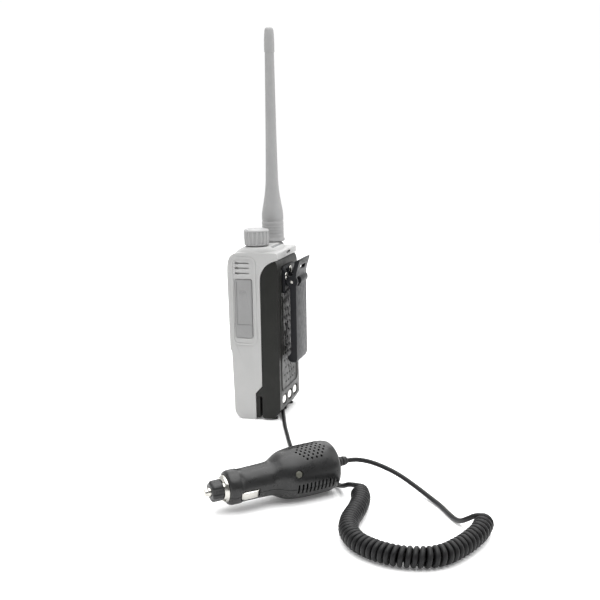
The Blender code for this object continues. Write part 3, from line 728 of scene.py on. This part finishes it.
def add_keys():
    """Twelve domed keys with raised legends, and the wide key above them."""
    spots = [(x, z) for z in KEY_ROWS for x in KEY_COLUMNS]
    width, tall = KEY_SIZE
    for name, (x, z) in zip(KEY_NAMES, spots):
        front = keypad_face_y(z) - KEY_PROUD
        outline = rounded_rect((x - width / 2, x + width / 2), (z - tall / 2, z + tall / 2), 1.7)
        shape = dome(outline, front + 0.55, front + 3.95, 0.55, (x, z))
        key = mesh_object(f"key_cap_{name}", shape)
        finish_piece(key, TRIM, f"key_{name}", (f"key_{name}",), sharp=38.0)
        legend = {"star": "*", "hash": "#"}.get(name, name)
        add_legend(legend, (x, front - 0.03, z), 3.4, f"key_{name}", MARK)
    front = keypad_face_y(ROCKER_Z) - KEY_PROUD
    half, tall = ROCKER_SIZE[0] / 2, ROCKER_SIZE[1] / 2
    outline = rounded_rect((-half, half), (ROCKER_Z - tall, ROCKER_Z + tall), 3.3, 8)
    rocker = mesh_object("rocker_cap", dome(outline, front + 0.6, front + 3.95, 0.6,
                                            (0.0, ROCKER_Z)))
    carve(rocker, box((-0.25, 0.25), (front - 1.0, front + 0.35), (ROCKER_Z - 4, ROCKER_Z + 4)))
    finish_piece(rocker, TRIM, "menu_rocker", ("menu_rocker",), sharp=38.0)
    for x, sign in ((-11.0, -1), (11.0, 1)):
        arrow = [(x - 1.3 * sign, ROCKER_Z - 1.5), (x - 1.3 * sign, ROCKER_Z + 1.5),
                 (x + 1.5 * sign, ROCKER_Z)]
        mark = mesh_object("rocker_mark", prism(arrow, "Y", front - 0.04, front + 0.3))
        finish_piece(mark, MARK, "menu_rocker")


def add_legend(text, place, size, body, look, thick=0.12):
    """A raised character on a front face, as a mesh."""
    curve = bpy.data.curves.new("legend", "FONT")
    curve.body = text
    curve.size = size * MM
    curve.extrude = thick * MM
    curve.align_x = "CENTER"
    curve.align_y = "CENTER"
    item = bpy.data.objects.new("legend", curve)
    item.matrix_world = (Matrix.Translation(Vector(place) * MM)
                         @ Matrix.Rotation(math.radians(90), 4, "X"))
    bpy.context.collection.objects.link(item)
    bpy.context.view_layer.update()
    graph = bpy.context.evaluated_depsgraph_get()
    mesh = bpy.data.meshes.new_from_object(item.evaluated_get(graph))
    mesh.transform(item.matrix_world)
    bpy.data.objects.remove(item, do_unlink=True)
    solid = bpy.data.objects.new("legend", mesh)
    bpy.context.collection.objects.link(solid)
    finish_piece(solid, look, body)


def add_side_buttons():
    """Talk button and two keys on the left, each with cross grooves."""
    for name, (low, high) in SIDE_BUTTONS.items():
        outline = rounded_rect(BUTTON_Y, (low, high), 2.0)
        rings = []
        centre = (-9.0, (low + high) / 2)
        for share, x in ((1.0, -24.9), (1.0, -28.0), (0.97, -28.3), (0.9, -28.5), (0.75, -28.6)):
            rings.append([(x, centre[0] + (y - centre[0]) * share,
                           centre[1] + (z - centre[1]) * (1 - (1 - share) * 0.4))
                          for y, z in outline])
        button = mesh_object(f"{name}_cap", loft(rings))
        grooves = bmesh.new()
        z = low + 3.0
        while z < high - 2.6:
            prism(rounded_rect((-12.2, -5.8), (z - 0.3, z + 0.3), 0.28), "X", -30.0, -28.2, grooves)
            z += 1.7
        carve(button, grooves)
        finish_piece(button, RUBBER, name, (name,), sharp=38.0)


def add_display():
    """Panel with generic readings behind the window."""
    panel = mesh_object("display_panel", prism(
        rounded_rect((-18.0, 18.0), (69.0, 94.0), 1.0), "Y", -24.12, -23.7))
    finish_piece(panel, GLASS_GREEN, "radio")
    for text, place, size in (("118.000", (0.0, -24.14, 84.0), 8.0),
                              ("COM", (-12.5, -24.14, 91.0), 3.0),
                              ("NAV", (-4.5, -24.14, 91.0), 3.0),
                              ("VOL 12", (-10.0, -24.14, 73.0), 3.2)):
        add_legend(text, place, size, "radio", SEGMENT, 0.03)
    battery = mesh_object("display_battery", prism(
        rounded_rect((9.0, 15.0), (89.8, 92.2), 0.3), "Y", -24.2, -24.0))
    carve(battery, prism(rounded_rect((9.5, 14.5), (90.3, 91.7), 0.2), "Y", -25.0, -23.0))
    finish_piece(battery, SEGMENT, "radio")


# ---------------------------------------------------------------- eliminator

def add_eliminator():
    """Rear shell with a framed back panel, two ribs, dimples and three windows."""
    gap = SEAM_GAP
    seam = [(y + gap, z - gap) for y, z in seam_line()]
    slope = flat_line(((12.2, 124.3), (13.3, 122.6), (14.0, 119.5), (PACK_BACK_Y, 115.0)), 4)
    chamfer = [(PACK_BACK_Y, 9.6), (13.9, 8.2), (9.9, 2.4), (8.9, 1.6)]
    outline = [(gap, 27.0), *seam[:-1], *slope, *chamfer, (0.9, 1.5), (-0.1, 2.3),
               (-0.1, 18.6), (-5.2, 18.6), (-5.2, 20.9)]
    shape = prism(outline, "X", -HALF_WIDTH, HALF_WIDTH)
    bevel_edges(shape, lambda x, y, z: abs(abs(x) - HALF_WIDTH) < 1e-3 and y > 8.0, 3.8, 8)
    shell = mesh_object("eliminator_case", shape)
    hollow = [(2.0, 110.3), (2.4, 113.5), (5.6, 117.6), (9.4, 119.6), (12.2, 115.5),
              (12.2, 10.2), (8.2, 4.8), (1.9, 4.8), (1.9, 25.5), (2.0, 28.7), (-1.0, 28.7),
              (-1.0, 110.3)]
    panel = prism(rounded_rect((-22.6, 22.6), (21.0, 116.4), 6.0, 10), "Y", 13.5, 14.85)
    carve(shell, panel, "UNION")
    carve(shell, prism(rounded_rect((-21.0, 21.0), (22.6, 114.8), 4.8, 10), "Y", 14.4, 16.0))
    ribs = bmesh.new()
    for x in (-RIB_X, RIB_X):
        prism(rounded_rect((x - 0.8, x + 0.8), (50.0, 96.0), 0.7), "Y", 14.0, 14.95, ribs)
    carve(shell, ribs, "UNION")
    carve(shell, prism(hollow, "X", -25.2, 25.2))
    carve(shell, dimples())
    windows = bmesh.new()
    for x in CONTACT_X:
        prism(rounded_rect((x - 5.8, x + 5.8), (CONTACT_Z - 3.8, CONTACT_Z + 3.8), 3.6, 8),
              "Y", 11.0, 16.0, windows)
    carve(shell, windows)
    carve(shell, box((-2.6, 7.0), (4.5, 16.0), (0.0, 6.2)))
    carve(shell, box((6.0, 14.0), (6.4, 16.0), (0.0, 4.0)))
    finish_piece(shell, BLACK, "radio", ("eliminator_shell",), 0.22, 2, 28.0)


def add_contacts():
    """Charge pads standing in their windows, on the sprung strip behind them."""
    strip = mesh_object("contact_pads", prism(
        rounded_rect((-21.2, 21.2), (CONTACT_Z - 3.8, CONTACT_Z + 3.8), 1.0), "Y", 10.8, 11.9))
    for x in CONTACT_X:
        outline = rounded_rect((x - 4.6, x + 4.6), (CONTACT_Z - 3.0, CONTACT_Z + 3.0), 2.9, 8)
        rings = []
        for share, y in ((1.0, 11.5), (1.0, 13.3), (0.96, 13.8), (0.86, 14.1), (0.6, 14.3)):
            rings.append([(x + (a - x) * share, y, CONTACT_Z + (b - CONTACT_Z) * share)
                          for a, b in outline])
        carve(strip, loft(rings), "UNION")
    finish_piece(strip, GOLD, "radio", ("contact_strip",), sharp=50.0)


def dimples():
    """Staggered shallow pits over the back panel."""
    shape = bmesh.new()
    for row in range(15):
        z = 27.5 + DIMPLE_PITCH[1] * row
        shift = DIMPLE_PITCH[0] / 2 if row % 2 else 0.0
        for column in range(-3, 4):
            x = DIMPLE_PITCH[0] * column + shift - 1.6
            if abs(x) < 19.5 and abs(abs(x) - RIB_X) > 2.2:
                profile = ((1.15, 15.2), (1.0, 14.5), (0.7, 13.95), (0.0, 13.75))
                lathe(((0.0, 15.2), *profile), "Y", (x, z), 14, into=shape)
    return shape


# ---------------------------------------------------------------- belt clip

def add_clip_bracket():
    """Plate with a rim, two ears round the pin and a seat for each screw."""
    bracket = mesh_object("bracket", prism(
        rounded_rect((-17.4, 17.4), (98.0, 119.0), 4.0, 8), "Y", 14.6, 16.0))
    rim = mesh_object("rim", prism(rounded_rect((-16.6, 16.6), (98.8, 118.2), 3.6, 8),
                                   "Y", 15.6, 16.4))
    carve(rim, prism(rounded_rect((-15.6, 15.6), (99.8, 117.2), 2.8, 8), "Y", 15.0, 18.0))
    weld(bracket, rim)
    for side in (-1, 1):
        low, high = sorted((side * 5.4, side * 7.2))
        ear = [(15.8, 102.6), (15.8, 110.6), (18.4, 109.6),
               *arc(PIVOT, 1.8, 75, -75, 10), (18.4, 103.2)]
        carve(bracket, prism(ear, "X", low, high), "UNION")
    for x, z in SCREWS.values():
        carve(bracket, lathe(((3.9, 15.6), (3.9, 16.2), (3.2, 16.5), (3.2, 15.6)), "Y",
                             (x, z), 32, closed=True), "UNION")
    carve(bracket, cylinder("X", PIVOT, PIN_BORE, -13.0, 13.0, 32))
    finish_piece(bracket, CLIP, "radio", ("clip_bracket",), 0.15, 2, 30.0)


def add_screws():
    """Cross-slotted screw heads."""
    for name, (x, z) in SCREWS.items():
        profile = ((0.0, 15.9), (2.9, 15.9), (2.9, 16.4), (2.65, 16.8), (1.9, 17.1),
                   (1.0, 17.2), (0.0, 17.2))
        screw = mesh_object(f"{name}_head", lathe(profile, "Y", (x, z), 40))
        for turn in (30, 120):
            slot = prism(rounded_rect((-1.5, 1.5), (-0.3, 0.3), 0.2), "Y", 16.5, 18.0)
            slot.transform(Matrix.Translation((x, 0, z))
                           @ Matrix.Rotation(math.radians(turn), 4, "Y"))
            carve(screw, slot)
        finish_piece(screw, NICKEL, "radio", (name,))


def add_clip_lever():
    """Sprung lever: flat face, side walls, thumb tab, and a barrel round the pin."""
    half = CLIP_HALF_WIDTH
    outer = flat_line(((24.9, 49.0), (24.9, 80.0), (24.9, 109.0), (25.0, 111.6), (25.6, 115.2),
                       (26.7, 119.2), (27.9, 122.9)), 4)
    tip = [(28.0, 123.5), (27.7, 124.0), (27.1, 124.2), (24.2, 123.0), (23.9, 122.4)]
    inner = flat_line(((23.8, 121.0), (23.4, 118.6), (23.0, 115.8), (22.9, 112.0), (22.9, 90.0),
                       (22.9, 51.4), (22.3, 49.0), (20.6, 48.2), (19.0, 48.6)), 4)
    foot = [(18.0, 49.2), (17.4, 48.8), (17.5, 46.6), (18.6, 44.4), (20.4, 43.3), (22.8, 43.1),
            (24.1, 44.0), (24.8, 46.0)]
    shape = prism([*outer, *tip, *inner, *foot], "X", -half, half)
    lever = mesh_object("lever", shape)
    wall = [(24.4, 46.0), (24.4, 114.2), (23.2, 114.6), (21.4, 111.2),
            *arc(PIVOT, 3.2, 80, 250, 12), (20.0, 101.6), (20.2, 98.0), (20.2, 52.0),
            (18.6, 49.0), (18.6, 45.2), (20.4, 43.6)]
    for side in (-1, 1):
        low, high = sorted((side * (half - 1.8), side * half))
        carve(lever, prism(wall, "X", low, high), "UNION")
    carve(lever, cylinder("X", (PIVOT[0] + 0.6, PIVOT[1] + 0.4), 4.5, -half, half, 64), "UNION")
    carve(lever, box((1.8 - half, half - 1.8), (10.0, 22.9), (101.0, 112.6)))
    outline = rounded_rect((-half, half), (43.1, 140.0), 4.6, 10)
    carve(lever, prism(outline, "Y", 10.0, 32.0), "INTERSECT")
    carve(lever, cylinder("X", PIVOT, PIN_BORE, -18.0, 18.0, 32))
    carve(lever, prism(rounded_rect((-7.4, 7.4), (116.0, 119.2), 0.7), "Y", 20.0, 30.0))
    pockets = bmesh.new()
    for side in (-1, 1):
        box(sorted((side * 5.1, side * 7.5)), (22.6, 23.8), (102.6, 111.0), pockets)
    carve(lever, pockets)
    carve(lever, prism(rounded_rect((4.2, 13.6), (103.2, 110.8), 3.0, 8), "Y", 21.0, 30.0))
    ribs = bmesh.new()
    for step in range(-5, 6):
        prism(((26.6, 120.2), (27.6, 120.0), (28.4, 122.9), (27.6, 122.9)), "X",
              2.4 * step - 0.3, 2.4 * step + 0.3, ribs)
    carve(lever, ribs)
    finish_piece(lever, CLIP, "clip_lever", ("clip_lever",), 0.5, 3, 30.0)


# ---------------------------------------------------------------- plug

def plug_piece(name, shape, look, body, replaces, roll=PLUG_ROLL, soften=0.0, **rest):
    """A finished piece from a shape in the plug's own axes."""
    place_plug(shape, roll)
    item = mesh_object(name, shape)
    return finish_piece(item, look, body, replaces, soften, **rest)


def place_plug(shape, roll=PLUG_ROLL):
    """Move a shape from the plug's own axes, its pin's tip at zero, to its place."""
    shape.transform(Matrix.Translation(PLUG_TIP) @ Matrix.Rotation(PLUG_TURN, 4, "Z")
                    @ Matrix.Rotation(PLUG_TILT, 4, "Y") @ Matrix.Rotation(roll, 4, "X"))
    return shape


def shell_profile():
    """Closed (radius, along) outline of the plug's wall, from collar to boot."""
    curve = flat_line(((9.8, 24.0), (9.9, 32.0), (10.1, 39.5), (10.5, 42.6), (11.8, 45.2),
                       (13.5, 48.2), (14.8, 52.0), (15.5, 57.0), (15.85, 63.5), (15.9, 71.0),
                       (15.85, 77.5), (15.5, 80.8), (14.7, 83.4), (13.4, 84.9)), 4)
    inside = [(0.4, 85.3), (0.4, 82.5), (11.0, 82.5), (13.4, 77.5), (13.4, 54.0), (8.4, 43.0),
              (8.4, 13.3)]
    return [(8.6, 13.3), (9.3, 13.6), (9.9, 14.4), (10.3, 15.7), (10.4, 20.2),
            (10.3, 21.0), (9.95, 21.6), *curve, (11.4, 85.3), *inside]


def add_plug_shells():
    """Upper and lower half of the plug, each a half turn of the wall with its cuts."""
    for name, side in (("plug_shell_upper", 1), ("plug_shell_lower", -1)):
        sections = []
        for step in range(49):
            angle = math.pi * step / 48
            sections.append([(along, radius * math.cos(angle),
                              side * (radius * math.sin(angle) + 0.14))
                             for radius, along in shell_profile()])
        half = mesh_object(f"{name}_skin", place_plug(loft(sections)))
        for edge in (-1, 1):
            reach = sorted((edge * 7.0, edge * 12.5))
            window = prism(rounded_rect((19.5, 31.8), (-2.8, 2.8), 0.5), "Y", *reach)
            carve(half, place_plug(window))
            slits = bmesh.new()
            for step in range(SLIT_COUNT):
                along = SLIT_START + SLIT_PITCH * step
                reach = sorted((edge * 12.0, edge * 17.5))
                tall = 3.9 - 0.1 * abs(step - 5)
                prism(rounded_rect((along, along + SLIT_WIDTH), (-tall, tall), 0.5), "Y",
                      *reach, slits)
            carve(half, place_plug(slits))
        if side > 0:
            carve(half, place_plug(vent_holes()))
            hole = cylinder("Z", (LAMP_ALONG, 0.0), 2.5, 11.0, 17.0, 32)
            carve(half, place_plug(hole, LAMP_ROLL))
        finish_piece(half, PLUG, "radio", (name,), 0.08, 2, 40.0)


def vent_holes():
    """Oval field of small round holes on the top of the fat part."""
    shape = bmesh.new()
    for row in range(-3, 4):
        shift = HOLE_PITCH[0] / 2 if row % 2 else 0.0
        for column in range(-4, 5):
            along = HOLE_PITCH[0] * column + shift
            across = HOLE_PITCH[1] * row
            if (along / HOLE_FIELD[0]) ** 2 + (across / HOLE_FIELD[1]) ** 2 < 1.0:
                cylinder("Z", (HOLE_CENTRE + along, across), HOLE_RADIUS, 13.0, 17.0, 12,
                         shape)
    return shape


def add_plug_front():
    """Pin, nose, collar, side contacts, lamp and the ribbed boot of the cord."""
    pin = ((0.0, 0.0), (1.3, 0.05), (1.85, 0.35), (2.1, 0.9), (2.1, 2.0), (2.55, 2.3),
           (2.7, 2.6), (2.7, 6.3), (3.6, 6.3), (3.6, 7.4), (0.0, 7.4))
    plug_piece("pin_tip", lathe(pin, "X", sides=48), NICKEL, "plug_pin", ("plug_pin",))

    def ribs(radius, along, angle):
        if radius < 5.0 or along > 10.0:
            return radius
        return radius + 0.28 * math.copysign(abs(math.cos(6 * angle)) ** 0.5,
                                             math.cos(6 * angle))

    nose = ((3.1, 3.6), (4.5, 3.5), (5.3, 3.8), (5.9, 4.5), (6.1, 5.4), (6.15, 7.2), (6.2, 9.4),
            (6.3, 10.1), (4.1, 10.1), (4.1, 5.9), (3.1, 5.9))
    plug_piece("nose_ring", lathe(nose, "X", sides=144, closed=True, wave=ribs), PLUG, "radio",
               ("plug_nose",), sharp=40.0)
    collar = ((4.6, 10.4), (6.6, 10.4), (7.0, 10.6), (7.7, 11.7), (8.2, 12.7), (8.2, 13.05),
              (7.9, 13.05), (7.9, 16.0), (4.6, 16.0))
    ring = mesh_object("collar_ring", place_plug(lathe(collar, "X", sides=96, closed=True)))
    for turn in (0, 90, 180, 270):
        notch = box((9.0, 11.5), (6.4, 10.0), (-1.3, 1.3))
        carve(ring, place_plug(notch, PLUG_ROLL + math.radians(turn + 25)))
    finish_piece(ring, NICKEL, "radio", ("plug_collar",), 0.08, 2, 40.0)
    for name, side in (("left", 1), ("right", -1)):
        profile = [(side * 8.6, 19.9), (side * 9.6, 19.9), (side * 10.9, 21.6),
                   (side * 10.9, 29.7), (side * 9.6, 31.4), (side * 8.6, 31.4)]
        strip = prism([(along, y) for y, along in profile], "Z", -2.4, 2.4)
        plug_piece(f"contact_{name}", strip, NICKEL, f"side_contact_{name}",
                   (f"side_contact_{name}",), soften=0.3, segments=3)
    lamp = ((0.0, 12.9), (2.25, 12.9), (2.25, 14.7), (2.0, 15.2), (1.2, 15.6), (0.0, 15.75))
    plug_piece("lamp_dome", lathe(lamp, "Z", (LAMP_ALONG, 0.0), 32), LENS, "radio",
               ("plug_lamp",), LAMP_ROLL, slot="lamp_lens")
    boot = [(0.0, 85.4), (3.3, 85.4), (3.6, 85.9)]
    for step in range(4):
        along, radius = 85.9 + 2.5 * step, 3.6 - 0.22 * step
        boot += [(radius, along), (radius, along + 1.3), (radius - 0.25, along + 1.6),
                 (radius - 0.9, along + 1.7), (radius - 0.9, along + 2.3)]
    boot += [(2.6, 95.6), (2.5, 96.1), (2.1, 96.4), (0.0, 96.4)]
    plug_piece("boot", lathe(boot, "X", sides=48), RUBBER, "radio", ("plug_boot",), sharp=40.0)


# ---------------------------------------------------------------- studio

def studio_world():
    """Plain white to look at, and light that is brighter overhead than from the viewer's side."""
    world = bpy.data.worlds.new("studio")
    world.use_nodes = True
    tree = world.node_tree
    background = tree.nodes["Background"]
    place = tree.nodes.new("ShaderNodeTexCoord")
    turn = tree.nodes.new("ShaderNodeVectorMath")
    turn.operation = "DOT_PRODUCT"
    turn.inputs[1].default_value = (-0.86, -0.18, 0.48)
    tree.links.new(place.outputs["Generated"], turn.inputs[0])
    light = spread(tree, turn.outputs["Value"], 0.22, 1.02, -0.5, 0.55)
    light.node.interpolation_type = "SMOOTHSTEP"
    seen = tree.nodes.new("ShaderNodeLightPath")
    strength = tree.nodes.new("ShaderNodeMath")
    strength.operation = "MAXIMUM"
    tree.links.new(light, strength.inputs[0])
    tree.links.new(seen.outputs["Is Camera Ray"], strength.inputs[1])
    tree.links.new(strength.outputs["Value"], background.inputs["Strength"])
    background.inputs["Color"].default_value = (1.0, 1.0, 1.0, 1.0)
    return world


LAMPS = (
    ("key", (0.3, 0.15, 1.1), 1.3, 17.5),
    ("front", (0.9, -0.8, 0.8), 0.8, 1.5),
    ("back", (-0.2, 1.1, 0.7), 0.7, 2.0),
    ("wash", (-0.9, -0.15, 1.2), 1.4, 12.0),
)


def floor_and_lights():
    """Pale floor, plain light all round and four large soft lamps aimed at the object."""
    shape = bmesh.new()
    bmesh.ops.create_grid(shape, x_segments=1, y_segments=1, size=900.0)
    floor = mesh_object("floor", shape)
    floor.location = (-0.2, -0.1, 0.0)
    look, _, shader = new_material("floor white", (0.93, 0.93, 0.93), 0.85)
    shader.inputs["Specular IOR Level"].default_value = 0.1
    shader.inputs["Emission Color"].default_value = (1.0, 1.0, 1.0, 1.0)
    shader.inputs["Emission Strength"].default_value = 0.1
    floor.data.materials.append(look)
    bpy.context.scene.world = studio_world()
    for name, place, size, power in LAMPS:
        lamp = bpy.data.lights.new(name, "AREA")
        lamp.size = size
        lamp.energy = power
        item = bpy.data.objects.new(name, lamp)
        item.location = place
        aim = Vector((0.08, 0.05, 0.05)) - Vector(place)
        item.rotation_euler = aim.to_track_quat("-Z", "Y").to_euler()
        bpy.context.collection.objects.link(item)
    bpy.context.scene.view_settings.view_transform = "Standard"


dress_cad_nodes()
add_case()
add_knob()
add_antenna()
add_accessory_cover()
add_keys()
add_side_buttons()
add_display()
add_eliminator()
add_contacts()
add_clip_bracket()
add_screws()
add_clip_lever()
add_plug_shells()
add_plug_front()
floor_and_lights()
